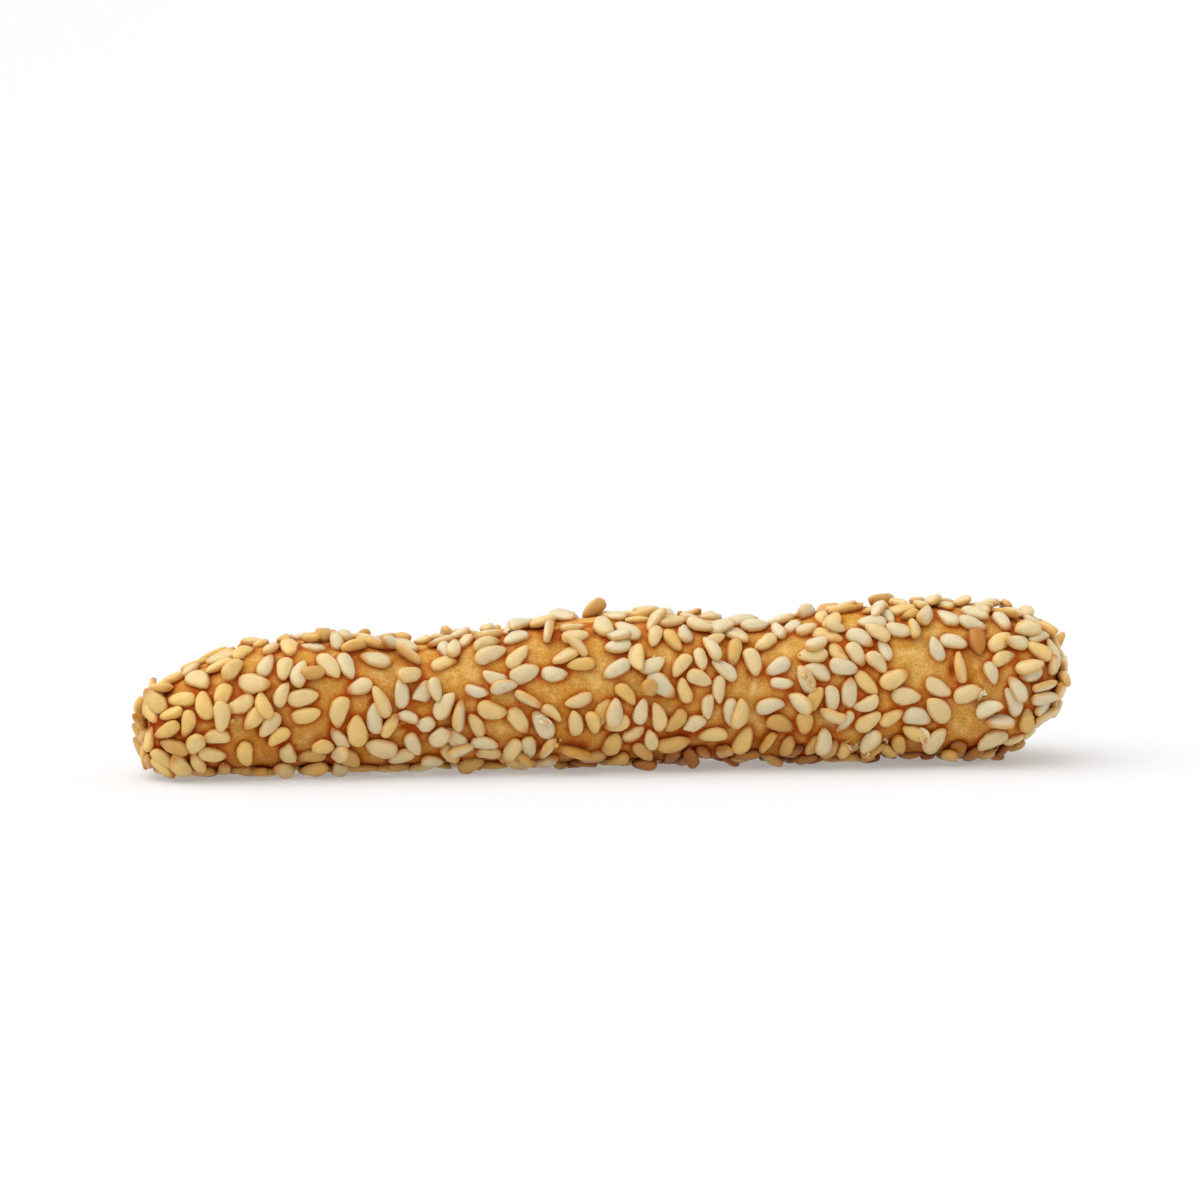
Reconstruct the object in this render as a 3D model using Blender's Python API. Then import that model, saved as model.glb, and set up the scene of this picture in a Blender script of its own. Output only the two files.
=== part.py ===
"""Sesame stick: a short, straight stick of baked dough in a coat of sesame seeds.

Metres, +Z up. The stick lies along X on its flattened underside, and the origin
is under its middle. The solid is the coated stick: its surface runs through the
outer half of the seed coat. Angles round the stick are counted from its top,
0 to 180 degrees down the front (-Y) side and 0 to -180 down the back.
"""

import math

import bmesh
import bpy

MM = 0.001

# Driving dimensions
LENGTH = 93.0 * MM
THIN_END_HEIGHT = 13.5 * MM
THICK_END_HEIGHT = 16.7 * MM
WIDTH_PER_HEIGHT = 1.02
SIDEWAYS_BOW = 0.7 * MM
SECTION_POWER = 2.2            # 2 is an ellipse, more is squarer
BASE_BITE = 0.5 * MM           # how much of the round section the baking tray flattened

# The thin end (-X) is blunt, with a top that falls towards it
THIN_NOSE = 2.4 * MM
THIN_TOP = (17.0 * MM, 0.61)   # length of the fall, share of the height left at the tip
THIN_SIDES = (11.0 * MM, 0.78)
THIN_RISE = (3.0 * MM, 1.0 * MM)    # length over which the underside lifts, and how far

# The thick end (+X) is rounder, and its underside lifts off the table
THICK_NOSE = 4.5 * MM
THICK_TOP = (14.0 * MM, 0.86)
THICK_SIDES = (11.0 * MM, 0.82)
THICK_RISE = (9.5 * MM, 4.0 * MM)

NOSE_POWER = 2.7               # 2 is a round nose, more is blunter

# Swells and dents of the hand-rolled dough:
# place along X, angle round the stick, reach along, reach round, height
LUMPS = (
    (-37.0 * MM, 95, 4.5 * MM, 60, 0.30 * MM),
    (-26.5 * MM, 75, 5.0 * MM, 45, 0.35 * MM),
    (-19.0 * MM, 0, 4.5 * MM, 70, -1.20 * MM),
    (-12.0 * MM, 120, 5.0 * MM, 50, -0.30 * MM),
    (0.5 * MM, 10, 8.5 * MM, 60, 0.75 * MM),
    (4.0 * MM, 100, 6.0 * MM, 50, 0.25 * MM),
    (13.5 * MM, 80, 2.8 * MM, 60, -0.40 * MM),
    (15.5 * MM, 0, 5.0 * MM, 50, -0.80 * MM),
    (22.0 * MM, 110, 5.0 * MM, 45, 0.35 * MM),
    (28.5 * MM, 0, 6.0 * MM, 60, 0.45 * MM),
    (32.0 * MM, 70, 3.5 * MM, 35, -0.45 * MM),
    (39.0 * MM, 100, 4.0 * MM, 50, 0.25 * MM),
    (-33.0 * MM, -80, 5.0 * MM, 50, -0.35 * MM),
    (-22.0 * MM, -100, 6.0 * MM, 50, 0.40 * MM),
    (-8.0 * MM, -70, 4.0 * MM, 50, -0.35 * MM),
    (7.0 * MM, -95, 6.0 * MM, 50, 0.30 * MM),
    (19.0 * MM, -85, 3.5 * MM, 60, -0.40 * MM),
    (34.0 * MM, -90, 6.0 * MM, 50, 0.35 * MM),
)

# Facets
AROUND = 40
RINGS = 60
NOSE_RINGS = 8


def clear_scene():
    for old in list(bpy.data.objects):
        bpy.data.objects.remove(old, do_unlink=True)


def baked_crust():
    """Golden crust under pale seeds, one mean colour for the coated stick."""
    material = bpy.data.materials.new("baked_crust")
    material.use_nodes = True
    principled = material.node_tree.nodes["Principled BSDF"]
    principled.inputs["Base Color"].default_value = (0.74, 0.50, 0.24, 1.0)
    principled.inputs["Roughness"].default_value = 0.6
    principled.inputs["Metallic"].default_value = 0.0
    return material


def signed_power(value, power):
    return math.copysign(abs(value) ** power, value)


def falling(distance, fall):
    """Share of the full size at a distance from a tip, from the tip's share up to 1."""
    length, tip_share = fall
    still_to_go = max(0.0, 1.0 - distance / length)
    return 1.0 - (1.0 - tip_share) * still_to_go ** 2


def rise(distance, lift):
    """How far the underside has lifted at a distance from a tip."""
    length, height = lift
    return height * 0.5 * (1.0 + math.cos(math.pi * min(1.0, distance / length)))


def station(ring):
    """Place along X of a ring, and how open the end's rounding is there."""
    from_tip = min(ring, RINGS - ring)
    thin_end = ring <= RINGS / 2
    nose = THIN_NOSE if thin_end else THICK_NOSE
    if from_tip < NOSE_RINGS:
        swing = 0.5 * math.pi * from_tip / NOSE_RINGS
        power = 2.0 / NOSE_POWER
        distance = nose * (1.0 - math.cos(swing) ** power)
        x = -0.5 * LENGTH + distance if thin_end else 0.5 * LENGTH - distance
        return x, math.sin(swing) ** power
    share = (ring - NOSE_RINGS) / (RINGS - 2 * NOSE_RINGS)
    x_start = -0.5 * LENGTH + THIN_NOSE
    x_end = 0.5 * LENGTH - THICK_NOSE
    return x_start + share * (x_end - x_start), 1.0


def section(x):
    """Underside, top and half width of the stick at x, before its ends round off."""
    from_thin = x + 0.5 * LENGTH
    from_thick = 0.5 * LENGTH - x
    height = THIN_END_HEIGHT + (THICK_END_HEIGHT - THIN_END_HEIGHT) * from_thin / LENGTH
    top = height * falling(from_thin, THIN_TOP) * falling(from_thick, THICK_TOP)
    underside = rise(from_thin, THIN_RISE) + rise(from_thick, THICK_RISE) - BASE_BITE
    sides = falling(from_thin, THIN_SIDES) * falling(from_thick, THICK_SIDES)
    return underside, top, 0.5 * height * WIDTH_PER_HEIGHT * sides


def lump_height(x, angle):
    """Sum of the swells and dents at a place on the stick."""
    total = 0.0
    for lump_x, lump_angle, reach_along, reach_round, height in LUMPS:
        along = (x - lump_x) / reach_along
        turn = (angle - math.radians(lump_angle) + math.pi) % (2.0 * math.pi) - math.pi
        around = turn / math.radians(reach_round)
        total += height * math.exp(-(along ** 2 + around ** 2))
    return total


def stick_point(ring, angle):
    """Point of the surface on a ring, at an angle from the top."""
    x, openness = station(ring)
    underside, top, half_width = section(x)
    half_height = 0.5 * (top - underside)
    axis_y = SIDEWAYS_BOW * math.cos(math.pi * x / LENGTH)
    axis_z = 0.5 * (top + underside)
    swell = lump_height(x, angle)
    across = signed_power(math.sin(angle), 2.0 / SECTION_POWER)
    upward = signed_power(math.cos(angle), 2.0 / SECTION_POWER)
    y = axis_y - (half_width + swell) * across * openness
    z = axis_z + (half_height + swell) * upward * openness
    return x, y, max(0.0, z)


def stick_mesh():
    """A sphere whose poles are the stick's tips, drawn out ring by ring."""
    shape = bmesh.new()
    bmesh.ops.create_uvsphere(shape, u_segments=AROUND, v_segments=RINGS, radius=1.0)
    for vertex in shape.verts:
        on_sphere = vertex.co.copy()
        ring = round(RINGS * (1.0 - math.acos(max(-1.0, min(1.0, on_sphere.z))) / math.pi))
        angle = math.atan2(-on_sphere.x, on_sphere.y)
        vertex.co = stick_point(ring, angle)
    low_y = min(vertex.co.y for vertex in shape.verts)
    high_y = max(vertex.co.y for vertex in shape.verts)
    bmesh.ops.translate(shape, verts=shape.verts, vec=(0.0, -0.5 * (low_y + high_y), 0.0))
    bmesh.ops.recalc_face_normals(shape, faces=shape.faces)
    mesh = bpy.data.meshes.new("stick")
    shape.to_mesh(mesh)
    shape.free()
    return mesh


def build():
    clear_scene()
    collection = bpy.data.collections.new("sesame_stick")
    bpy.context.scene.collection.children.link(collection)
    stick = bpy.data.objects.new("stick", stick_mesh())
    stick.data.materials.append(baked_crust())
    stick.data.shade_smooth()
    collection.objects.link(stick)


build()
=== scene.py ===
"""Looks of a sesame stick: its baked dough, its coat of sesame seeds and what fell off them.

Metres, +Z up. The stick lies along X with its thin end at -X. Angles round the stick are
counted from its top, 0 to 180 degrees down the front (-Y) side and 0 to -180 down the back.
"""

import math
import random
from collections import namedtuple

import bmesh
import bpy
import numpy as np
from mathutils import Matrix, Vector, noise
from mathutils.bvhtree import BVHTree
from mathutils.kdtree import KDTree


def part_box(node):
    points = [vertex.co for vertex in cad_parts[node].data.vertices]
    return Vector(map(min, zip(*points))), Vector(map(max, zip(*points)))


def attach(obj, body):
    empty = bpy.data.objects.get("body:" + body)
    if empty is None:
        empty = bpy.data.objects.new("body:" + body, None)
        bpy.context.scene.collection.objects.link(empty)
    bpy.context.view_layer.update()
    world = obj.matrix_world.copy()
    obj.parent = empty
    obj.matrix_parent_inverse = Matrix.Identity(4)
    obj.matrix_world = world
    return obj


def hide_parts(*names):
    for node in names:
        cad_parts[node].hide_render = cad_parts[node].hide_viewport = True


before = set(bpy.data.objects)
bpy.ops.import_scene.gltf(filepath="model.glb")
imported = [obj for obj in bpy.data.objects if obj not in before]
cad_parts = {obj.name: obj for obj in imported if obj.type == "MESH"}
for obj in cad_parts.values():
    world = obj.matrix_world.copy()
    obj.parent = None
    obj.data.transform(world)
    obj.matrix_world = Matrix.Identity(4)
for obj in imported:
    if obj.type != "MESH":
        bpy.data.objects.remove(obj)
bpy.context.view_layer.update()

MM = 0.001
LOW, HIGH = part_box("stick")

# Dough
COAT = 0.95 * MM               # how far the bare dough lies inside the solid of the coated stick
TIP_COAT = 0.45 * MM           # how much further it does so at the tips, where seeds stand out
CAP_REACH = 6.0 * MM           # length of each end that is cast from one inner point
CAP_SHARE = 0.12               # share of the rings that an end gets
AROUND = 190
RINGS = 370
FACET_SMOOTHING = 50           # passes that take the solid's facets out of the dough

# Seeds
# Rounds of laying: how many seeds, how close to others in shares of both sizes, if they stand
ROUNDS = (
    (585, 0.90, False),        # side by side in the dough
    (145, 0.42, False),        # fallen partly on others
    (36, 0.55, True),          # on one end, most of them at the stick's ends
)
TRIES = 9000                   # places tried in a round, at most
HEADINGS = 7                   # directions tried at each place
NEIGHBOUR_REACH = 4.2 * MM     # how far round a seed others can touch it
SEED_LENGTH = (2.92 * MM, 0.26 * MM)      # mean and spread
SHORTEST = 2.2 * MM
LONGEST = 3.4 * MM
SEED_WIDTH = (0.51, 0.66)                 # shares of the length
SEED_THICKNESS = (0.80 * MM, 1.02 * MM)
POINT = (0.06, 0.38)                      # how much of the width is lost towards the tip
BEND = 0.05                               # spread of the sideways bend
SEED_AROUND = 8
SEED_RINGS = 10
SINK = (0.10 * MM, 0.40 * MM)             # how deep a seed is baked into the dough
# A seed's outline as three discs: place along it in lengths, radius in widths
DISCS = ((-0.20, 0.48), (0.08, 0.46), (0.33, 0.30))
# Where a seed is held up: blunt end, tip, left and right, in lengths and widths
FEET = ((-0.28, 0.0), (0.32, 0.0), (0.0, 0.25), (0.0, -0.25))
FOOT_SIZE = 0.26               # radius of a foot, in widths
PRESSED_IN = 0.06 * MM         # how deep a seed lies in the one under it
PITCH_SPREAD = 6.0             # degrees, by which seeds lie off what holds them up
ROLL_SPREAD = 9.0
MOST_HEIGHT = 0.78 * MM        # of a lying seed's middle over the dough
MOST_PITCH = 36.0              # degrees, of a lying seed
MOST_ROLL = 42.0
ON_EDGE = 0.07                 # share of the lying seeds that are turned on to their narrow side
EDGE_HEIGHT = 0.55 * MM        # only seeds lower than this are
EDGE_ROLL = (48.0, 80.0)
STANDING_PITCH = (16.0, 52.0)
STANDING_REACH = 3.5 * MM      # length of the stick's ends where seeds stand
STANDING_ALONG = 0.03          # share of the places between the ends where one may stand
MOST_LIFT = 0.5 * MM           # how far a seed may be lifted on to the table
BROKEN = 0.02                  # share of the seeds that lost their tip
BREAK = (0.35, 0.75)           # where, in half lengths from the middle
CELL_MARGIN = 0.05             # of a seed's or a crumb's cell in the sheet it is mapped on

# Bare patches of the crust: place along X, angle, reach along, reach round in degrees
BARE_PATCHES = (
    (-33.0 * MM, 72, 2.0 * MM, 10),
    (-30.0 * MM, 116, 2.8 * MM, 14),
    (-26.5 * MM, 88, 2.8 * MM, 17),
    (-22.5 * MM, 64, 2.2 * MM, 13),
    (-15.0 * MM, 72, 2.0 * MM, 12),
    (-6.8 * MM, 63, 2.8 * MM, 9),
    (-2.0 * MM, 100, 1.8 * MM, 10),
    (8.3 * MM, 110, 2.2 * MM, 9),
    (12.9 * MM, 90, 1.7 * MM, 36),
    (16.8 * MM, 54, 2.8 * MM, 15),
    (25.3 * MM, 121, 3.2 * MM, 10),
    (32.4 * MM, 74, 3.0 * MM, 13),
    (33.5 * MM, 118, 4.0 * MM, 14),
    (-28.0 * MM, -75, 4.5 * MM, 20),
    (-10.0 * MM, -105, 3.0 * MM, 18),
    (5.0 * MM, -60, 3.5 * MM, 16),
    (21.0 * MM, -95, 3.0 * MM, 24),
    (35.0 * MM, -70, 3.0 * MM, 18),
)

# Folds of the crust: place along X and angle of both ends, half width, depth
FOLDS = (
    (13.9 * MM, 58, 12.7 * MM, 94, 0.32 * MM, 0.32 * MM),
    (-12.0 * MM, -50, -14.0 * MM, -90, 0.40 * MM, 0.20 * MM),
)
LIP_ASIDE = 1.9                # half widths from a fold's bottom to the lip on its +X side
LIP_HEIGHT = 0.5               # of that lip, as a share of the depth
# Pits beside seeds that were pushed over: place along X, angle, reach along, reach round, depth
PITS = (
    (33.2 * MM, 77, 0.45 * MM, 0.85 * MM, 0.60 * MM),
    (-20.5 * MM, 118, 0.70 * MM, 0.40 * MM, 0.35 * MM),
    (8.0 * MM, -80, 0.50 * MM, 0.80 * MM, 0.50 * MM),
)
# Seeds that lie beside those pits: place along X, angle, heading and roll in degrees
PUSHED = (
    (34.0 * MM, 75, 6, 62),
    (-20.3 * MM, 109, 75, 35),
    (8.8 * MM, -82, 10, -58),
)

# Crumbs of dough: place along X, angle, size
CRUMBS = (
    (18.2 * MM, 79, 0.72 * MM),
    (18.7 * MM, 82, 0.56 * MM),
    (19.0 * MM, 86, 0.50 * MM),
    (19.4 * MM, 90, 0.44 * MM),
    (-37.0 * MM, 108, 0.55 * MM),
    (-6.0 * MM, 128, 0.60 * MM),
    (-5.4 * MM, 130, 0.40 * MM),
    (-43.0 * MM, 62, 0.90 * MM),
    (-24.0 * MM, -60, 0.50 * MM),
    (15.0 * MM, -95, 0.55 * MM),
    (15.4 * MM, -91, 0.40 * MM),
)
LOOSE_CRUMBS = 22              # finer ones, anywhere
TIP_SPECKS = 34                # burnt specks, on the tips of seeds
LOOSE_SPECKS = 10              # burnt specks, anywhere
# Skins of hulled seeds: place along X, angle, heading and tilt in degrees, length
SKINS = (
    (23.3 * MM, 134, 70, 42, 1.7 * MM),
    (24.2 * MM, 138, -20, 30, 1.9 * MM),
    (25.0 * MM, 135, 110, 50, 1.5 * MM),
    (26.6 * MM, 136, 15, 18, 2.0 * MM),
    (30.4 * MM, 126, 25, 14, 2.0 * MM),
    (35.9 * MM, 95, -25, 55, 1.2 * MM),
    (-7.2 * MM, 110, 70, 40, 1.6 * MM),
    (1.0 * MM, -84, 20, 25, 1.9 * MM),
)

# A seed: the point of the dough under it, its middle, the ways its tip and its upper face look,
# its size, how pointed, bent and uneven it is, how dark its faces and its tip are, where it broke
Seed = namedtuple("Seed", "root place along out length width thickness point bend phase tone toast cut")


def cad_surface():
    """The coated stick's solid, merged, as a surface to cast rays at."""
    shape = bmesh.new()
    shape.from_mesh(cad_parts["stick"].data)
    bmesh.ops.remove_doubles(shape, verts=shape.verts, dist=0.001 * MM)
    tree = BVHTree.FromBMesh(shape)
    shape.free()
    return tree


def axis_point(tree, x):
    """Middle of the solid's section at x."""
    far = 4.0 * HIGH.z
    top = tree.ray_cast(Vector((x, 0.0, far)), Vector((0.0, 0.0, -1.0)))[0]
    underside = tree.ray_cast(Vector((x, 0.0, -far)), Vector((0.0, 0.0, 1.0)))[0]
    z = 0.5 * (top.z + underside.z)
    front = tree.ray_cast(Vector((x, -far, z)), Vector((0.0, 1.0, 0.0)))[0]
    back = tree.ray_cast(Vector((x, far, z)), Vector((0.0, -1.0, 0.0)))[0]
    return Vector((x, 0.5 * (front.y + back.y), z))


def ray_for(on_sphere, middles):
    """Start and direction of the ray that carries a point of the unit sphere to the stick."""
    share = 1.0 - math.acos(max(-1.0, min(1.0, on_sphere.z))) / math.pi
    round_stick = Vector((0.0, on_sphere.x, on_sphere.y))
    if round_stick.length > 0.0:
        round_stick.normalize()
    from_end = min(share, 1.0 - share)
    if from_end < CAP_SHARE:
        outwards = -1.0 if share < 0.5 else 1.0
        swing = 0.5 * math.pi * from_end / CAP_SHARE
        direction = Vector((outwards * math.cos(swing), 0.0, 0.0)) + round_stick * math.sin(swing)
        return middles[0] if share < 0.5 else middles[-1], direction
    step = round(len(middles) * (share - CAP_SHARE) / (1.0 - 2.0 * CAP_SHARE))
    return middles[max(0, min(len(middles) - 1, step))], round_stick


def at_tip(place):
    """1 at either tip of the stick, 0 from a few millimetres inwards."""
    return max(0.0, 1.0 - (HIGH.x - abs(place.x)) / (5.0 * MM))


def dough_shape():
    """The bare dough: a sphere whose poles are the tips, cast onto the solid and drawn in."""
    tree = cad_surface()
    steps = round(RINGS * (1.0 - 2.0 * CAP_SHARE))
    length = HIGH.x - LOW.x - 2.0 * CAP_REACH
    middles = [axis_point(tree, LOW.x + CAP_REACH + length * i / steps) for i in range(steps + 1)]
    shape = bmesh.new()
    shape.loops.layers.uv.new("OFBake")
    bmesh.ops.create_uvsphere(shape, u_segments=AROUND, v_segments=RINGS, radius=1.0, calc_uvs=True)
    for vertex in shape.verts:
        start, direction = ray_for(vertex.co, middles)
        vertex.co = tree.ray_cast(start, direction)[0]
    for _ in range(FACET_SMOOTHING):
        bmesh.ops.smooth_vert(
            shape, verts=shape.verts, factor=0.5, use_axis_x=True, use_axis_y=True, use_axis_z=True
        )
    bmesh.ops.recalc_face_normals(shape, faces=shape.faces)
    shape.normal_update()
    drawn_in = []
    for vertex in shape.verts:
        coat = COAT + TIP_COAT * at_tip(vertex.co)
        drawn_in.append(vertex.co - vertex.normal * coat)
    for vertex, place in zip(shape.verts, drawn_in):
        vertex.co = place
    shape.normal_update()
    return shape


def stick_angle(place):
    """Angle of a place round the stick, from the top, down the front positive."""
    middle_z = 0.5 * HIGH.z
    return math.atan2(-place.y, place.z - middle_z)


def bareness(place):
    """How bare of seeds the crust is at a place, 0 to 1."""
    angle = math.degrees(stick_angle(place))
    bare = 0.0
    for x, patch_angle, reach_along, reach_round in BARE_PATCHES:
        turn = (angle - patch_angle + 180.0) % 360.0 - 180.0
        spread = ((place.x - x) / reach_along) ** 2 + (turn / reach_round) ** 2
        bare = max(bare, math.exp(-spread ** 2))
    return bare


def thinning(place):
    """How much thinner than full the coat of seeds is at a place, 0 to 1."""
    drift = noise.noise(place / (4.0 * MM) + Vector((3.1, 7.7, 1.3)))
    return max(bareness(place), min(1.0, max(0.0, 2.2 * drift - 0.10)))


def draw_seed(draw, place, out):
    """One seed's size, shape and heading."""
    length = max(SHORTEST, min(LONGEST, draw.gauss(*SEED_LENGTH)))
    across = out.orthogonal().normalized()
    along = Matrix.Rotation(draw.uniform(0.0, 2.0 * math.pi), 3, out) @ across
    browned = browning(place)
    return Seed(
        root=place,
        place=place,
        along=along,
        out=out,
        length=length,
        width=length * draw.uniform(*SEED_WIDTH),
        thickness=draw.uniform(*SEED_THICKNESS),
        point=draw.uniform(*POINT),
        bend=draw.gauss(0.0, BEND),
        phase=draw.uniform(0.0, 100.0),
        tone=min(1.0, 0.9 * draw.random() ** 2.1 + 0.35 * browned + 0.60 * at_thin_end(place)),
        toast=min(1.0, draw.random() ** 3 + 0.5 * browned),
        cut=draw.uniform(*BREAK) if draw.random() < BROKEN else 1.0,
    )


def at_thin_end(place):
    """1 at the thin tip of the stick, 0 from some way along it."""
    return max(0.0, 1.0 - (place.x - LOW.x) / (26.0 * MM))


def browning(place):
    """How deeply the stick is baked at a place, 0 to 1: most under the thin end, least on top."""
    on_top = min(1.0, max(0.0, (place.z - 6.0 * MM) / (5.0 * MM)))
    low_down = max(0.0, 1.0 - place.z / (6.5 * MM))
    drift = 0.5 + 0.5 * noise.noise(place / (9.0 * MM) + Vector((5.0, 2.0, 8.0)))
    baked = 0.7 * at_thin_end(place) * (1.0 - 0.7 * on_top) + 0.8 * low_down
    return min(1.0, baked * (0.5 + drift))


def scorching_and_shade(place):
    """How dark the stick's underside is at a place, 0 to 1, least at the thin end: its browning on the
    tray, with painted shade under the stick.
    """
    low_down = max(0.0, 1.0 - place.z / (3.2 * MM))
    towards_thick_end = min(1.0, max(0.25, (place.x + 18.0 * MM) / (22.0 * MM)))
    return low_down * towards_thick_end


class Coat:
    """The seeds laid so far, each as discs in space with their radii and half thicknesses."""

    def __init__(self):
        self.seeds = []
        self.places = np.zeros((0, 3))
        self.sizes = np.zeros(0)
        self.halves = np.zeros(0)

    def lay(self, seed):
        own = [seed.place + seed.along * (share * seed.length) for share, _ in DISCS]
        self.seeds.append(seed)
        self.places = np.vstack([self.places, np.array(own)])
        self.sizes = np.append(self.sizes, [size * seed.width for _, size in DISCS])
        self.halves = np.append(self.halves, [0.5 * seed.thickness] * len(DISCS))

    def around(self, place, reach):
        """Places, sizes and half thicknesses of the discs near a place."""
        apart = self.places - np.array(place)
        near = (apart ** 2).sum(1) < reach ** 2
        return self.places[near], self.sizes[near], self.halves[near]


def is_free(seed, near, closeness):
    """Whether a seed lies clear of its neighbours, which may come this close."""
    places, sizes, _ = near
    if not len(places):
        return True
    own = np.array([seed.place + seed.along * (share * seed.length) for share, _ in DISCS])
    own_sizes = np.array([size * seed.width for _, size in DISCS])
    apart = own[:, None, :] - places[None, :, :]
    depth = apart @ np.array(seed.out)
    flat = np.sqrt(np.maximum(0.0, (apart ** 2).sum(2) - depth ** 2))
    return not (flat < closeness * (own_sizes[:, None] + sizes[None, :])).any()


def support(seed, near, sink):
    """Height of a seed's middle over each of its feet, on the dough or on its neighbours."""
    places, sizes, halves = near
    side = seed.out.cross(seed.along)
    heights = []
    for along, across in FEET:
        foot = seed.root + seed.along * (along * seed.length) + side * (across * seed.width)
        height = 0.5 * seed.thickness - sink
        if len(places):
            apart = places - np.array(foot)
            depth = apart @ np.array(seed.out)
            flat = np.sqrt(np.maximum(0.0, (apart ** 2).sum(1) - depth ** 2))
            share = np.minimum(1.0, flat / (sizes + FOOT_SIZE * seed.width))
            stacked = depth + (halves + 0.5 * seed.thickness) * np.sqrt(1.0 - share ** 2) - PRESSED_IN
            over = stacked[share < 1.0]
            if len(over):
                height = max(height, over.max())
        heights.append(height)
    return heights


def settle(draw, seed, near):
    """Lays a seed on whatever holds up its feet; None if it would stick up too far."""
    blunt, tip, left, right = support(seed, near, draw.uniform(*SINK))
    (blunt_at, _), (tip_at, _), (_, left_at), (_, right_at) = FEET
    pitch = math.atan2(tip - blunt, (tip_at - blunt_at) * seed.length)
    pitch += math.radians(draw.gauss(0.0, PITCH_SPREAD))
    roll = math.atan2(left - right, (left_at - right_at) * seed.width)
    roll = 0.7 * roll + math.radians(draw.gauss(0.0, ROLL_SPREAD))
    lengthwise = (blunt * tip_at - tip * blunt_at) / (tip_at - blunt_at)
    height = max(lengthwise, 0.5 * (left + right))
    too_steep = abs(pitch) > math.radians(MOST_PITCH) or abs(roll) > math.radians(MOST_ROLL)
    if height > MOST_HEIGHT or too_steep:
        return None
    if draw.random() < ON_EDGE and height < EDGE_HEIGHT:
        roll = draw.choice((-1.0, 1.0)) * math.radians(draw.uniform(*EDGE_ROLL))
        height += 0.5 * (seed.width - seed.thickness)
    side = seed.out.cross(seed.along)
    tilted = Matrix.Rotation(-pitch, 3, side)
    along = tilted @ seed.along
    out = Matrix.Rotation(roll, 3, along) @ (tilted @ seed.out)
    return above_table(seed._replace(place=seed.root + seed.out * height, along=along, out=out))


def stand(draw, seed):
    """Stands a seed on one of its ends in the dough, leaning over."""
    pitch = math.radians(draw.uniform(*STANDING_PITCH))
    height = 0.38 * seed.length * math.sin(pitch) + 0.12 * seed.thickness
    side = seed.out.cross(seed.along)
    tilted = Matrix.Rotation(draw.choice((-pitch, pitch)), 3, side)
    place = seed.root + seed.out * height
    return above_table(seed._replace(place=place, along=tilted @ seed.along, out=tilted @ seed.out))


def stands_here(draw, place):
    """Seeds stand at the ends of the stick more often than along it."""
    return abs(place.x) > HIGH.x - STANDING_REACH or draw.random() < STANDING_ALONG


def above_table(seed):
    """The seed, lifted on to the table if it reaches a little below it; None if it lies too deep."""
    side = seed.out.cross(seed.along)
    reach_down = math.sqrt(
        (0.5 * seed.length * seed.along.z) ** 2
        + (0.5 * seed.width * side.z) ** 2
        + (0.5 * seed.thickness * seed.out.z) ** 2
    )
    lowest = seed.place.z - reach_down
    if lowest < -MOST_LIFT:
        return None
    return seed._replace(place=seed.place + Vector((0.0, 0.0, max(0.0, -lowest))))


def pushed_seeds(draw, dough):
    """Seeds beside the pits, rolled on to an edge."""
    tree = BVHTree.FromBMesh(dough)
    for x, angle, heading, roll in PUSHED:
        place, out = touch(tree, x, angle)
        seed = draw_seed(draw, place, out)
        side = Vector((1.0, 0.0, 0.0))
        around = out.cross(side).normalized()
        along = Matrix.Rotation(math.radians(heading), 3, out) @ around
        turned = Matrix.Rotation(math.radians(roll), 3, along) @ out
        yield seed._replace(place=place + out * 0.30 * MM, along=along, out=turned, cut=1.0)


def scatter_seeds(dough):
    """Seeds all over the dough: first side by side, then some leaning on those, last a few standing."""
    draw = random.Random(20)
    dough.verts.index_update()
    faces = sorted(dough.faces, key=lambda face: sorted(corner.index for corner in face.verts))
    areas_so_far = np.cumsum([face.calc_area() for face in faces]).tolist()
    coat = Coat()
    for seed in pushed_seeds(draw, dough):
        coat.lay(seed)
    for count, closeness, standing in ROUNDS:
        wanted = len(coat.seeds) + count
        for _ in range(TRIES):
            if len(coat.seeds) >= wanted:
                break
            face = draw.choices(faces, cum_weights=areas_so_far)[0]
            seed = draw_seed(draw, face.calc_center_median(), face.normal.copy())
            if draw.random() < thinning(seed.root):
                continue
            if standing and not stands_here(draw, seed.root):
                continue
            near = coat.around(seed.root, NEIGHBOUR_REACH)
            turn = Matrix.Rotation(math.pi / HEADINGS, 3, seed.out)
            for _ in range(HEADINGS):
                seed = seed._replace(along=turn @ seed.along)
                if is_free(seed, near, closeness):
                    settled = stand(draw, seed) if standing else settle(draw, seed, near)
                    if settled is not None:
                        coat.lay(settled)
                    break
    return coat.seeds


def seed_kinds(seeds):
    """Seeds sorted by how dark they are: most pale, some golden, few toasted, and more golden and
    toasted ones low on the stick, for its browning and for painted shade under it.
    """
    draw = random.Random(7)
    kinds = {"pale": [], "golden": [], "toasted_and_shaded": []}
    for seed in seeds:
        browned = browning(seed.root)
        scorched_and_shaded = scorching_and_shade(seed.place)
        # low on the stick, darker kinds stand for its browning on the tray and for painted shade under
        # it
        toasted_below = 0.0015 + 1.0 * scorched_and_shaded ** 2
        golden_below = 0.09 + 0.12 * browned + 1.6 * scorched_and_shaded
        roll = draw.random()
        if roll < toasted_below:
            kinds["toasted_and_shaded"].append(seed)
        elif roll < golden_below:
            kinds["golden"].append(seed)
        else:
            kinds["pale"].append(seed)
    return kinds


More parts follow.
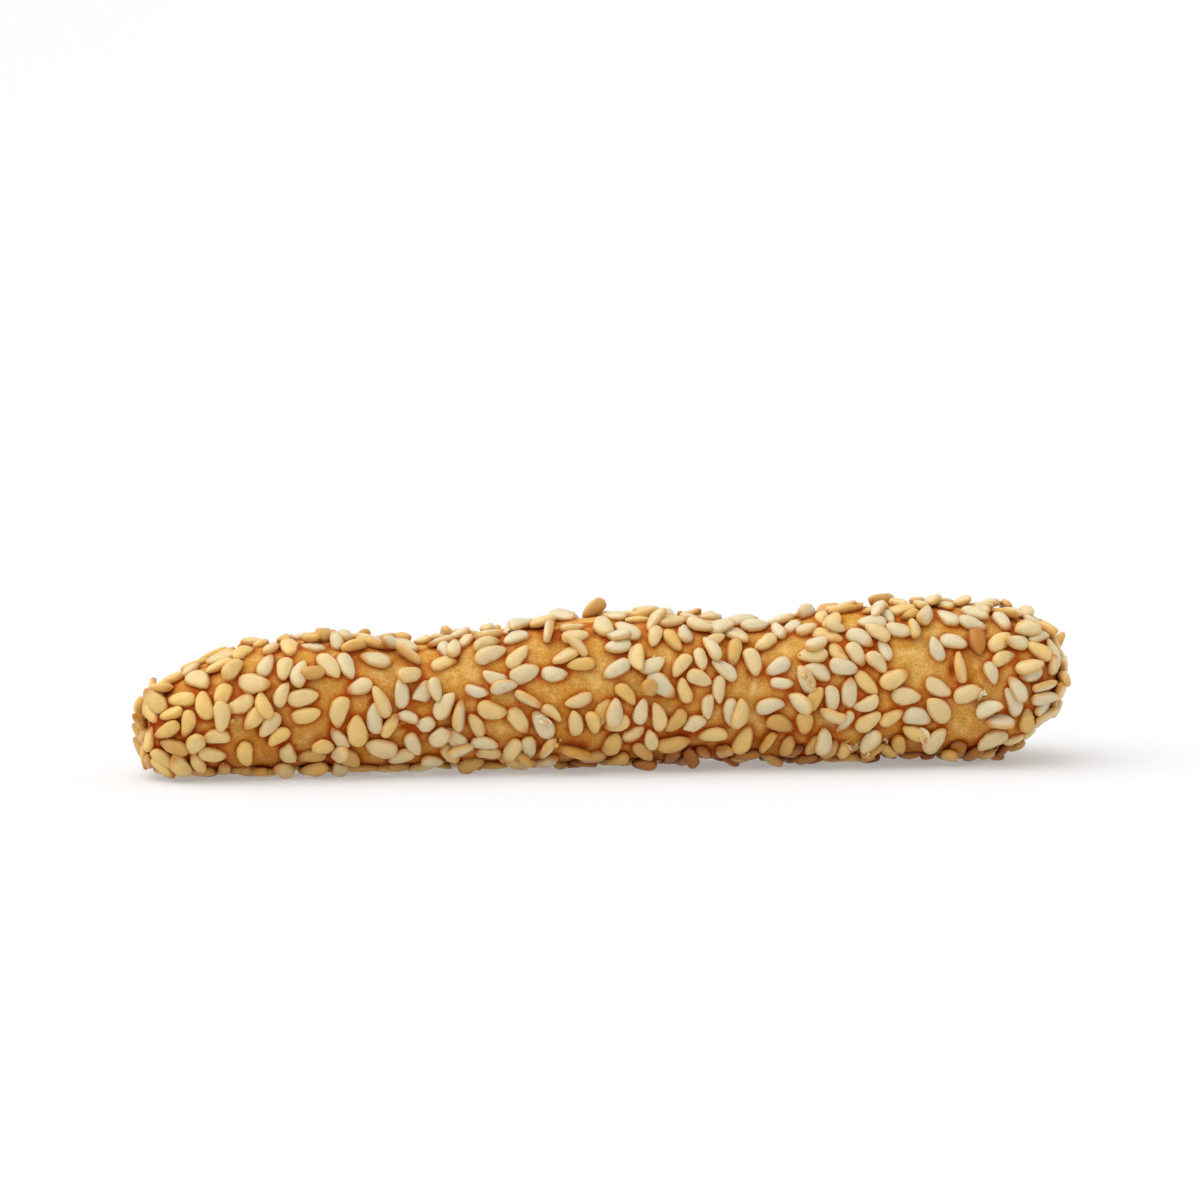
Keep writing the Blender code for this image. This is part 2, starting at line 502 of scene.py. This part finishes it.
def seed_point(seed, on_sphere):
    """Where a point of the unit sphere lands on a seed, in the seed's own axes."""
    along = on_sphere.z
    across = on_sphere.x
    up = on_sphere.y
    towards_tip = max(0.0, along)
    pointed = 1.0 - seed.point * towards_tip ** 3
    narrowing = pointed * (1.0 - 0.20 * along) * (1.0 + 0.16 * along ** 2)
    flattened = math.copysign(abs(up) ** 0.48, up) * (1.0 - 0.18 * along - 0.10 * along ** 2)
    swell = 1.0 + 0.17 * noise.noise(on_sphere * 1.5 + Vector((seed.phase, 0.0, 0.0)))
    aside = seed.bend * seed.length * (along ** 2 - 0.3)
    return Vector((
        0.5 * seed.length * along,
        0.49 * seed.width * across * narrowing * swell + aside,
        0.5 * seed.thickness * (flattened * swell - 0.10 * along ** 2),
    ))


def one_seed(seed, cell):
    """A seed as a small mesh, an egg drawn to a blunt point and flattened, and its layer of heights."""
    shape = bmesh.new()
    tone = shape.verts.layers.float.new("tone")
    raised = shape.verts.layers.float.new("raised")
    rim = shape.verts.layers.float.new("rim")
    tip = shape.verts.layers.float.new("tip")
    sheet = shape.loops.layers.uv.new("OFBake")
    bmesh.ops.create_uvsphere(
        shape, u_segments=SEED_AROUND, v_segments=SEED_RINGS, radius=1.0, calc_uvs=True
    )
    if seed.cut < 1.0:
        break_off(shape, seed.cut)
    to_cell(shape, sheet, cell)
    side = seed.out.cross(seed.along)
    for vertex in shape.verts:
        on_sphere = vertex.co.copy()
        local = seed_point(seed, on_sphere)
        vertex.co = seed.place + seed.along * local.x + side * local.y + seed.out * local.z
        vertex[tone] = seed.tone
        vertex[rim] = 1.0 - max(0.0, on_sphere.y)
        vertex[tip] = seed.toast * max(0.0, on_sphere.z) ** 2
    lift = max(0.0, -min(vertex.co.z for vertex in shape.verts))
    bmesh.ops.translate(shape, verts=shape.verts, vec=(0.0, 0.0, lift))
    return shape, raised


def cut_away(shape, place, facing):
    """Cuts a mesh with a plane, drops what lies beyond it, and gives the edges of the cut."""
    whole = shape.verts[:] + shape.edges[:] + shape.faces[:]
    cut = bmesh.ops.bisect_plane(shape, geom=whole, plane_co=place, plane_no=facing, clear_outer=True)
    return [part for part in cut["geom_cut"] if isinstance(part, bmesh.types.BMEdge)]


def break_off(shape, place):
    """Takes the tip off a unit sphere and closes the break."""
    edges = cut_away(shape, (0.0, 0.0, place), (0.3, 0.0, 1.0))
    bmesh.ops.holes_fill(shape, edges=edges)


def to_cell(shape, sheet, cell):
    """Moves a small mesh's map into its cell of a square sheet of cells."""
    row, column, across = cell
    inside = 1.0 - 2.0 * CELL_MARGIN
    for face in shape.faces:
        for corner in face.loops:
            place = corner[sheet].uv
            corner[sheet].uv = (
                (column + CELL_MARGIN + inside * place.x) / across,
                (row + CELL_MARGIN + inside * place.y) / across,
            )


def cells(count):
    """The cells of the smallest square sheet that gives each of so many things its own."""
    across = math.ceil(math.sqrt(count))
    return [(index // across, index % across, across) for index in range(count)]


def joined(shapes):
    """Small meshes gathered into one."""
    whole = bmesh.new()
    scratch = bpy.data.meshes.new("scratch")
    for shape in shapes:
        shape.to_mesh(scratch)
        shape.free()
        whole.from_mesh(scratch)
    bpy.data.meshes.remove(scratch)
    return whole


def seed_shapes(seeds, dough_tree):
    """Each seed's mesh, with the height of its points over the dough."""
    for seed, cell in zip(seeds, cells(len(seeds))):
        shape, raised = one_seed(seed, cell)
        for vertex in shape.verts:
            foot, normal, _, _ = dough_tree.find_nearest(vertex.co)
            vertex[raised] = (vertex.co - foot).dot(normal) / MM
        yield shape


def surface_tree(pieces):
    """The surface of several finished pieces together."""
    corners = []
    faces = []
    for piece in pieces:
        first = len(corners)
        corners.extend(vertex.co for vertex in piece.data.vertices)
        faces.extend([first + corner for corner in face.vertices] for face in piece.data.polygons)
    return BVHTree.FromPolygons(corners, faces)


def touch(tree, x, angle):
    """Where a line towards the stick's middle first meets its surface, and the way out there."""
    away = Matrix.Rotation(math.radians(angle), 3, "X") @ Vector((0.0, 0.0, 1.0))
    middle = Vector((x, 0.0, 0.5 * HIGH.z))
    place, normal, _, _ = tree.ray_cast(middle + away * 2.0 * HIGH.z, -away)
    return place, normal


def anywhere(draw):
    """A place along X and an angle anywhere on the stick, less often at its underside."""
    x = draw.uniform(LOW.x + 1.5 * MM, HIGH.x - 1.5 * MM)
    return x, draw.choice((-1.0, 1.0)) * draw.uniform(5.0, 150.0)


def grain(tree, x, angle, size, flatness, phase, cell):
    """A crumb of a given size, pressed flat on whatever lies at a place."""
    place, out = touch(tree, x, angle)
    shape = bmesh.new()
    sheet = shape.loops.layers.uv.new("OFBake")
    bmesh.ops.create_icosphere(shape, subdivisions=1, radius=0.5 * size, calc_uvs=True)
    to_cell(shape, sheet, cell)
    turn = out.to_track_quat("Z", "X").to_matrix()
    for vertex in shape.verts:
        uneven = noise.noise(vertex.co / (0.6 * size) + Vector((phase, 0.0, 0.0)))
        local = vertex.co * (1.0 + 0.5 * uneven)
        local.z *= flatness
        vertex.co = place + out * (0.30 * flatness * size) + turn @ local
    return shape


def crumb_shapes(tree):
    """Crumbs of baked dough: a few coarse ones in clusters, and fine ones anywhere."""
    draw = random.Random(3)
    loose = [(*anywhere(draw), draw.uniform(0.18, 0.34) * MM) for _ in range(LOOSE_CRUMBS)]
    crumbs = [*CRUMBS, *loose]
    for (x, angle, size), cell in zip(crumbs, cells(len(crumbs))):
        yield grain(tree, x, angle, size, 0.85, draw.uniform(0.0, 100.0), cell)


def speck_shapes(tree, seeds):
    """Burnt specks, flat on the tips of seeds and on the crust."""
    draw = random.Random(11)
    specks = []
    inner = [seed for seed in seeds if abs(seed.root.x) < HIGH.x - 4.0 * MM]
    for seed in draw.sample(inner, TIP_SPECKS):
        tip = seed.place + seed.along * (draw.uniform(0.42, 0.52) * seed.length)
        specks.append((tip.x, math.degrees(stick_angle(tip)), draw.uniform(0.12, 0.24) * MM))
    specks += [(*anywhere(draw), draw.uniform(0.10, 0.18) * MM) for _ in range(LOOSE_SPECKS)]
    for (x, angle, size), cell in zip(specks, cells(len(specks))):
        yield grain(tree, x, angle, size, 0.5, draw.uniform(0.0, 100.0), cell)


def torn_cup(length, phase):
    """A thin shard of a cup of a given length, open at the top and torn at its rim."""
    shape = bmesh.new()
    rim = shape.verts.layers.float.new("rim")
    bmesh.ops.create_uvsphere(shape, u_segments=16, v_segments=12, radius=1.0)
    cut_away(shape, (0.0, 0.0, -0.45), (0.0, 0.15, 1.0))
    cut_away(shape, (0.35, 0.0, 0.0), (1.0, 0.6, 0.0))
    for vertex in shape.verts:
        vertex[rim] = max(1.0 + vertex.co.z, 0.5 + 0.5 * vertex.co.x) / 0.55
        torn = noise.noise(vertex.co * 1.8 + Vector((phase, 0.0, 0.0)))
        vertex.co.z *= 1.0 + 0.9 * torn
        vertex.co.x *= 1.0 + 0.5 * torn
        vertex.co.y *= 1.0 - 0.4 * torn
    bmesh.ops.recalc_face_normals(shape, faces=shape.faces)
    bmesh.ops.scale(shape, verts=shape.verts, vec=(0.65 * length, 0.30 * length, 0.26 * length))
    bmesh.ops.solidify(shape, geom=shape.faces[:], thickness=0.04 * MM)
    return shape


def skin_shapes(tree):
    """Skins that came off seeds while they were hulled: thin torn shards of a cup, lying open."""
    for index, (x, angle, heading, tilt, length) in enumerate(SKINS):
        place, out = touch(tree, x, angle)
        shape = torn_cup(length, index * 5.0)
        headed = Matrix.Rotation(math.radians(heading), 3, "Z")
        turn = out.to_track_quat("Z", "X").to_matrix() @ headed
        turn = turn @ Matrix.Rotation(math.radians(tilt), 3, "X")
        for vertex in shape.verts:
            vertex.co = place + out * (0.22 * length) + turn @ vertex.co
        yield shape


def piece_from(name, shape, material):
    """A finished object from a bmesh, with outward faces and smooth shading."""
    bmesh.ops.recalc_face_normals(shape, faces=shape.faces)
    mesh = bpy.data.meshes.new(name)
    shape.to_mesh(mesh)
    shape.free()
    mesh.shade_smooth()
    mesh.materials.append(material)
    piece = bpy.data.objects.new(name, mesh)
    bpy.context.scene.collection.objects.link(piece)
    return piece


def seed_gaps(dough, seeds):
    """Distance from each point of the dough to the edges of its two nearest seeds."""
    places = []
    sizes = []
    owners = []
    for index, seed in enumerate(seeds):
        for share, size in DISCS:
            places.append(seed.place + seed.along * (share * seed.length))
            sizes.append(size * seed.width)
            owners.append(index)
    tree = KDTree(len(places))
    for index, place in enumerate(places):
        tree.insert(place, index)
    tree.balance()
    gaps = {}
    for vertex in dough.verts:
        nearest = {}
        for _, index, distance in tree.find_n(vertex.co, 8):
            gap = distance - sizes[index]
            owner = owners[index]
            nearest[owner] = min(gap, nearest.get(owner, 1.0))
        first, second = (sorted(nearest.values()) + [1.0])[:2]
        gaps[vertex] = (first, second)
    return gaps


def fold_profile(place):
    """Depth of the folds at a place, below zero on their raised lips."""
    angle = math.degrees(stick_angle(place))
    depth = 0.0
    for upper_x, upper_angle, lower_x, lower_angle, half_width, most in FOLDS:
        share = (angle - upper_angle) / (lower_angle - upper_angle)
        fading = math.exp(-(2.0 * share - 1.0) ** 4)
        aside = (place.x - (upper_x + share * (lower_x - upper_x))) / half_width
        lip = LIP_HEIGHT * math.exp(-(aside - LIP_ASIDE) ** 2)
        depth += most * fading * (math.exp(-aside ** 2) - lip)
    return depth


def pit_share(place):
    """How far into a pit a place lies, and the pit's depth there."""
    angle = stick_angle(place)
    inside = 0.0
    deepest = 0.0
    for x, pit_angle, reach_along, reach_round, depth in PITS:
        aside = 0.5 * HIGH.z * (angle - math.radians(pit_angle))
        share = math.exp(-((place.x - x) / reach_along) ** 2 - (aside / reach_round) ** 2)
        inside = max(inside, share)
        deepest = max(deepest, share * depth)
    return inside, deepest


def closeness_to(distance, reach, power):
    """1 at a seed's edge and inside it, falling off over a reach."""
    return math.exp(-(max(0.0, distance) / reach) ** power)


def finish_dough(dough, seeds):
    """Makes the crust pored and uneven, drawn up round the seeds baked into it."""
    beside = dough.verts.layers.float.new("beside_seed")
    crevice = dough.verts.layers.float.new("between_seeds")
    crowded = dough.verts.layers.float.new("among_seeds")
    baked = dough.verts.layers.float.new("browned")
    scorched_and_shaded = dough.verts.layers.float.new("scorched_and_shaded")
    lifted = dough.verts.layers.float.new("lifted")
    gaps = seed_gaps(dough, seeds)
    moved = []
    for vertex in dough.verts:
        place = vertex.co
        first, second = gaps[vertex]
        drawn_up = math.exp(-((first - 0.02 * MM) / (0.26 * MM)) ** 2)
        broad = noise.noise(place / (5.0 * MM) + Vector((1.0, 4.0, 2.0)))
        lumpy = noise.noise(place / (1.6 * MM))
        pored = noise.noise(place / (0.55 * MM))
        fold = fold_profile(place)
        in_pit, pit_depth = pit_share(place)
        relief = 0.18 * broad + 0.10 * lumpy + 0.03 * pored + 0.07 * drawn_up
        moved.append(place + vertex.normal * (relief * MM - fold - pit_depth))
        # Pits get the dough's painted shade and browning of places beside and between seeds.
        vertex[beside] = max(in_pit, closeness_to(first, 0.36 * MM, 1.5))
        vertex[crevice] = max(0.8 * in_pit, closeness_to(second, 0.55 * MM, 2))
        vertex[crowded] = closeness_to(second, 1.20 * MM, 2)
        vertex[lifted] = max(0.0, -fold) / MM
        vertex[baked] = browning(place)
        vertex[scorched_and_shaded] = scorching_and_shade(place)
    for vertex, place in zip(dough.verts, moved):
        vertex.co = place
    dough.normal_update()


def linear(colour):
    """Linear RGBA from an sRGB hex value."""
    channels = [int(colour[i:i + 2], 16) / 255.0 for i in (1, 3, 5)]
    return tuple(c / 12.92 if c <= 0.04045 else ((c + 0.055) / 1.055) ** 2.4 for c in channels) + (1.0,)


def add(tree, kind, inputs=None, **properties):
    """A new node with its properties, and its inputs given as values or as sockets to link."""
    node = tree.nodes.new(kind)
    for name, value in properties.items():
        setattr(node, name, value)
    for name, value in (inputs or {}).items():
        if isinstance(value, bpy.types.NodeSocket):
            tree.links.new(value, node.inputs[name])
        else:
            node.inputs[name].default_value = value
    return node


def new_material(name):
    """An empty node material with its output."""
    material = bpy.data.materials.new(name)
    material.use_nodes = True
    material.node_tree.nodes.clear()
    return material, material.node_tree


def per_metre(size):
    """Texture scale at which a noise has features of a real size."""
    return 1.0 / size


def tinted(tree, colour, tints):
    """A colour under several tints, one over the other.

    Each has a value with its two limits, the tint's share at both, another share that it is
    held back by or None, and its colour.
    """
    for value, low, high, share_at_low, share_at_high, held_back, tint in tints:
        share = add(tree, "ShaderNodeMapRange", {
            "Value": value, "From Min": low, "From Max": high,
            "To Min": share_at_low, "To Max": share_at_high}).outputs["Result"]
        if held_back is not None:
            share = add(tree, "ShaderNodeMath", {
                0: share, 1: held_back}, operation="MULTIPLY").outputs[0]
        colour = add(tree, "ShaderNodeMixRGB", {
            "Fac": share, "Color1": colour, "Color2": tint}).outputs["Color"]
    return colour


def shaded(tree, colour, pattern, darkest, lightest):
    """A colour made darker in the hollows of a pattern and lighter on its crests."""
    shade = add(tree, "ShaderNodeMapRange", {
        "Value": pattern, "From Min": 0.3, "From Max": 0.7,
        "To Min": darkest, "To Max": lightest}).outputs["Result"]
    return add(tree, "ShaderNodeMixRGB", {
        "Fac": 1.0, "Color1": colour, "Color2": shade}, blend_type="MULTIPLY").outputs["Color"]


def baked_dough():
    """Oven-baked lean dough: a matt golden skin, finely grained, red-brown where seeds press in and
    crowd, partly browning and partly painted shade, and darker at its underside in the same two ways.
    """
    material, tree = new_material("baked_dough")
    where = add(tree, "ShaderNodeTexCoord").outputs["Object"]
    patches = add(tree, "ShaderNodeTexNoise", {
        "Vector": where, "Scale": per_metre(4.0 * MM), "Detail": 2.0}).outputs["Fac"]
    floury = add(tree, "ShaderNodeTexNoise", {
        "Vector": where, "Scale": per_metre(2.6 * MM), "Detail": 3.0, "Distortion": 0.6}).outputs["Fac"]
    mottle = add(tree, "ShaderNodeTexNoise", {
        "Vector": where, "Scale": per_metre(1.1 * MM), "Detail": 3.0}).outputs["Fac"]
    grain = add(tree, "ShaderNodeTexNoise", {
        "Vector": where, "Scale": per_metre(0.22 * MM), "Detail": 2.5}).outputs["Fac"]
    beside = add(tree, "ShaderNodeAttribute", attribute_name="beside_seed").outputs["Fac"]
    between = add(tree, "ShaderNodeAttribute", attribute_name="between_seeds").outputs["Fac"]
    among = add(tree, "ShaderNodeAttribute", attribute_name="among_seeds").outputs["Fac"]
    browned = add(tree, "ShaderNodeAttribute", attribute_name="browned").outputs["Fac"]
    scorched_and_shaded = add(tree, "ShaderNodeAttribute", attribute_name="scorched_and_shaded").outputs["Fac"]
    lifted = add(tree, "ShaderNodeAttribute", attribute_name="lifted").outputs["Fac"]
    in_the_open = add(tree, "ShaderNodeMapRange", {
        "Value": among, "From Min": 0.20, "From Max": 0.85, "To Min": 1.0, "To Max": 0.15,
    }).outputs["Result"]
    uneven = add(tree, "ShaderNodeMapRange", {
        "Value": patches, "From Min": 0.35, "From Max": 0.6, "To Min": 0.35, "To Max": 0.80,
    }).outputs["Result"]
    depth = add(tree, "ShaderNodeMath", {
        0: browned, 1: 0.6, 2: uneven}, operation="MULTIPLY_ADD", use_clamp=True).outputs[0]
    crevice = add(tree, "ShaderNodeMath", {0: beside, 1: between}, operation="MULTIPLY").outputs[0]
    # Colours of painted shade where seeds press in and between them, with browning there.
    pressed_brown_and_shade = add(tree, "ShaderNodeMixRGB", {
        "Fac": browned, "Color1": linear("#AC5612"), "Color2": linear("#94400C")}).outputs["Color"]
    crevice_brown_and_shade = add(tree, "ShaderNodeMixRGB", {
        "Fac": browned, "Color1": linear("#A6440A"), "Color2": linear("#842404")}).outputs["Color"]
    baked = tinted(tree, linear("#C69340"), (
        (mottle, 0.40, 0.68, 0.0, 1.0, None, linear("#DAB268")),           # light mottle
        (patches, 0.45, 0.70, 0.0, 0.7, None, linear("#C98428")),          # warmer patches
        (among, 0.10, 0.95, 0.0, 0.34, None, linear("#B0722A")),           # where seeds crowd: painted shade among them, with browning
        (browned, 0.0, 1.0, 0.0, 0.62, None, linear("#A85816")),
        # painted shade under the stick, with its browning on the tray
        (scorched_and_shaded, 0.0, 0.7, 0.0, 0.90, None, linear("#85400F")),
        (floury, 0.52, 0.76, 0.0, 0.55, in_the_open, linear("#D6B478")),   # bloom of flour
        (lifted, 0.0, 0.10, 0.0, 0.5, None, linear("#DFBE84")),            # lips of the folds
        (beside, 0.02, 0.50, 0.0, 0.85, depth, linear("#B47428")),         # wide ring round a seed: painted shade, with some browning
        (beside, 0.35, 0.95, 0.0, 1.0, depth, pressed_brown_and_shade),                       # where a seed presses in: painted shade, with browning
        # painted shade between close seeds and in pits, with browning there
        (crevice, 0.05, 0.55, 0.0, 0.95, None, crevice_brown_and_shade),
    ))
    grained = shaded(tree, baked, grain, 0.78, 1.22)
    relief = add(tree, "ShaderNodeBump", {"Height": grain, "Strength": 0.4, "Distance": 0.05 * MM})
    skin = add(tree, "ShaderNodeBsdfPrincipled", {
        "Base Color": grained, "Roughness": 0.6, "IOR": 1.45, "Specular IOR Level": 0.06,
        "Normal": relief.outputs["Normal"],
        "Subsurface Weight": 0.15, "Subsurface Radius": (1.0, 0.4, 0.15), "Subsurface Scale": 0.5 * MM})
    add(tree, "ShaderNodeOutputMaterial", {"Surface": skin.outputs["BSDF"]})
    return material


def sesame(name, pale, deep, edge, toasted_and_shaded):
    """Hulled sesame: a satin waxy coat, cream faced, with painted warm shade on its steep sides where
    light glows through, painted shade at its foot on the dough, and toasted at its tip.
    """
    material, tree = new_material(name)
    where = add(tree, "ShaderNodeTexCoord").outputs["Object"]
    tone = add(tree, "ShaderNodeAttribute", attribute_name="tone").outputs["Fac"]
    raised = add(tree, "ShaderNodeAttribute", attribute_name="raised").outputs["Fac"]
    rim = add(tree, "ShaderNodeAttribute", attribute_name="rim").outputs["Fac"]
    tip = add(tree, "ShaderNodeAttribute", attribute_name="tip").outputs["Fac"]
    mottle = add(tree, "ShaderNodeTexNoise", {
        "Vector": where, "Scale": per_metre(0.7 * MM), "Detail": 2.0}).outputs["Fac"]
    own = add(tree, "ShaderNodeMixRGB", {
        "Fac": tone, "Color1": linear(pale), "Color2": linear(deep)}).outputs["Color"]
    above_dough = add(tree, "ShaderNodeMath", {
        0: mottle, 1: 0.5, 2: raised}, operation="MULTIPLY_ADD").outputs[0]
    tipped = tinted(tree, own, (
        # painted warm shade on a seed's steep sides and underside, as light glows through it
        (rim, 0.35, 1.0, 0.0, 0.85, None, linear(edge)),
        # painted shade and reflected warm light at a seed's foot on the dough
        (above_dough, 0.20, 0.62, 0.95, 0.0, None, linear(toasted_and_shaded)),
        (tip, 0.12, 0.75, 0.0, 0.90, None, linear(toasted_and_shaded)),
    ))
    mottled = shaded(tree, tipped, mottle, 0.94, 1.04)
    relief = add(tree, "ShaderNodeBump", {"Height": mottle, "Strength": 0.25, "Distance": 0.05 * MM})
    coat = add(tree, "ShaderNodeBsdfPrincipled", {
        "Base Color": mottled, "Roughness": 0.36, "IOR": 1.47, "Specular IOR Level": 0.35,
        "Normal": relief.outputs["Normal"],
        "Subsurface Weight": 0.6, "Subsurface Radius": (1.0, 0.80, 0.50), "Subsurface Scale": 0.22 * MM})
    add(tree, "ShaderNodeOutputMaterial", {"Surface": coat.outputs["BSDF"]})
    return material


def seed_hull():
    """Sesame hull: a thin dry skin, whitish at its torn rim, brown where the crust shows through it."""
    material, tree = new_material("sesame_hull")
    rim = add(tree, "ShaderNodeAttribute", attribute_name="rim").outputs["Fac"]
    colour = tinted(tree, linear("#C08040"), ((rim, 0.30, 1.0, 0.0, 1.0, None, linear("#E8D4A8")),))
    skin = add(tree, "ShaderNodeBsdfPrincipled", {
        "Base Color": colour, "Roughness": 0.45, "IOR": 1.45, "Specular IOR Level": 0.3})
    add(tree, "ShaderNodeOutputMaterial", {"Surface": skin.outputs["BSDF"]})
    return material


def crumb_like(name, light, dark):
    """Dry baked crumb: matt and rough, uneven in its browning."""
    material, tree = new_material(name)
    where = add(tree, "ShaderNodeTexCoord").outputs["Object"]
    mottle = add(tree, "ShaderNodeTexNoise", {
        "Vector": where, "Scale": per_metre(0.5 * MM), "Detail": 2.0}).outputs["Fac"]
    colour = tinted(tree, linear(dark), ((mottle, 0.35, 0.65, 0.0, 1.0, None, linear(light)),))
    dry = add(tree, "ShaderNodeBsdfPrincipled", {
        "Base Color": colour, "Roughness": 0.7, "IOR": 1.45, "Specular IOR Level": 0.1})
    add(tree, "ShaderNodeOutputMaterial", {"Surface": dry.outputs["BSDF"]})
    return material


def white_table():
    """White laminate, smooth and matt: evenly bright, with a soft shadow under the stick."""
    material, tree = new_material("white_table")
    board = add(tree, "ShaderNodeBsdfPrincipled", {
        "Base Color": (0.500, 0.504, 0.518, 1.0), "Roughness": 0.9, "Specular IOR Level": 0.0,
        "Emission Color": (1.0, 0.99, 0.95, 1.0), "Emission Strength": 0.31})
    add(tree, "ShaderNodeOutputMaterial", {"Surface": board.outputs["BSDF"]})
    return material


def studio_floor():
    """A white table whose far edges sweep up all round, so that there is no horizon."""
    half_size = 2.4
    flat_radius = 0.9
    steepness = 0.35
    shape = bmesh.new()
    bmesh.ops.create_grid(shape, x_segments=60, y_segments=60, size=half_size)
    for vertex in shape.verts:
        vertex.co.z = steepness * max(0.0, vertex.co.xy.length - flat_radius) ** 2
    floor = piece_from("floor", shape, white_table())


def studio_light():
    """A white room, and one large soft box overhead on the left."""
    world = bpy.data.worlds.new("white_room")
    bpy.context.scene.world = world
    world.use_nodes = True
    room = world.node_tree.nodes["Background"]
    room.inputs["Color"].default_value = (1.0, 1.0, 1.0, 1.0)
    room.inputs["Strength"].default_value = 0.74
    data = bpy.data.lights.new("soft_box", "SUN")
    data.energy = 2.38
    data.angle = math.radians(80.0)
    data.color = (1.0, 0.985, 0.965)
    lamp = bpy.data.objects.new("soft_box", data)
    lamp.location = (-0.40, -0.07, 0.70)
    lamp.rotation_euler = (-lamp.location).to_track_quat("-Z", "Y").to_euler()
    bpy.context.scene.collection.objects.link(lamp)
    bpy.context.scene.view_settings.view_transform = "Standard"


def studio_camera():
    """A long lens, a little above the table and turned towards the thin end."""
    azimuth = math.radians(-8.0)
    elevation = math.radians(5.86)
    distance = 328.0 * MM
    aim = Vector((-0.7 * MM, 0.0, 0.5 * HIGH.z + 8.3 * MM))
    data = bpy.data.cameras.new("camera")
    data.lens = 100.0
    data.clip_start = 0.01
    camera = bpy.data.objects.new("camera", data)
    towards = Vector((
        math.sin(azimuth) * math.cos(elevation),
        -math.cos(azimuth) * math.cos(elevation),
        math.sin(elevation),
    ))
    camera.location = aim + towards * distance
    camera.rotation_euler = (-towards).to_track_quat("-Z", "Y").to_euler()
    bpy.context.scene.collection.objects.link(camera)
    bpy.context.scene.camera = camera


def main():
    dough = dough_shape()
    seeds = scatter_seeds(dough)
    finish_dough(dough, seeds)
    dough_tree = BVHTree.FromBMesh(dough)
    crust = piece_from("baked_crust", dough, baked_dough())
    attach(crust, "root")
    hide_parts("stick")
    # Each look: face colours, the painted warm shade of the sides, and the colour of toasted tips and of
    # painted shade at the foot.
    looks = {
        "pale": sesame("pale_sesame", "#D2C4A2", "#DEBA6E", "#D0A154", "#B66E1E"),
        "golden": sesame("golden_sesame", "#D6AE62", "#C79A54", "#BE8A3C", "#985A1E"),
        "toasted_and_shaded": sesame("toasted_sesame", "#BA7C2C", "#985610", "#88480A", "#662A02"),
    }
    laid = [crust]
    for kind, lying in seed_kinds(seeds).items():
        piece = piece_from(f"{kind}_seeds", joined(seed_shapes(lying, dough_tree)), looks[kind])
        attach(piece, "root")
        laid.append(piece)
    surface = surface_tree(laid)
    golden = crumb_like("golden_crumb", "#E2BE80", "#CE9A4C")
    burnt = crumb_like("burnt_crumb", "#74421E", "#43200E")
    fallen = (
        ("dough_crumbs", crumb_shapes(surface), golden, "baked_crust"),
        ("burnt_specks", speck_shapes(surface, seeds), burnt, "baked_crust"),
        ("seed_skins", skin_shapes(surface), seed_hull(), "sesame_seed"),
    )
    for name, shapes, material, slot in fallen:
        piece = piece_from(name, joined(shapes), material)
        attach(piece, "root")
    studio_floor()
    studio_light()
    studio_camera()


main()
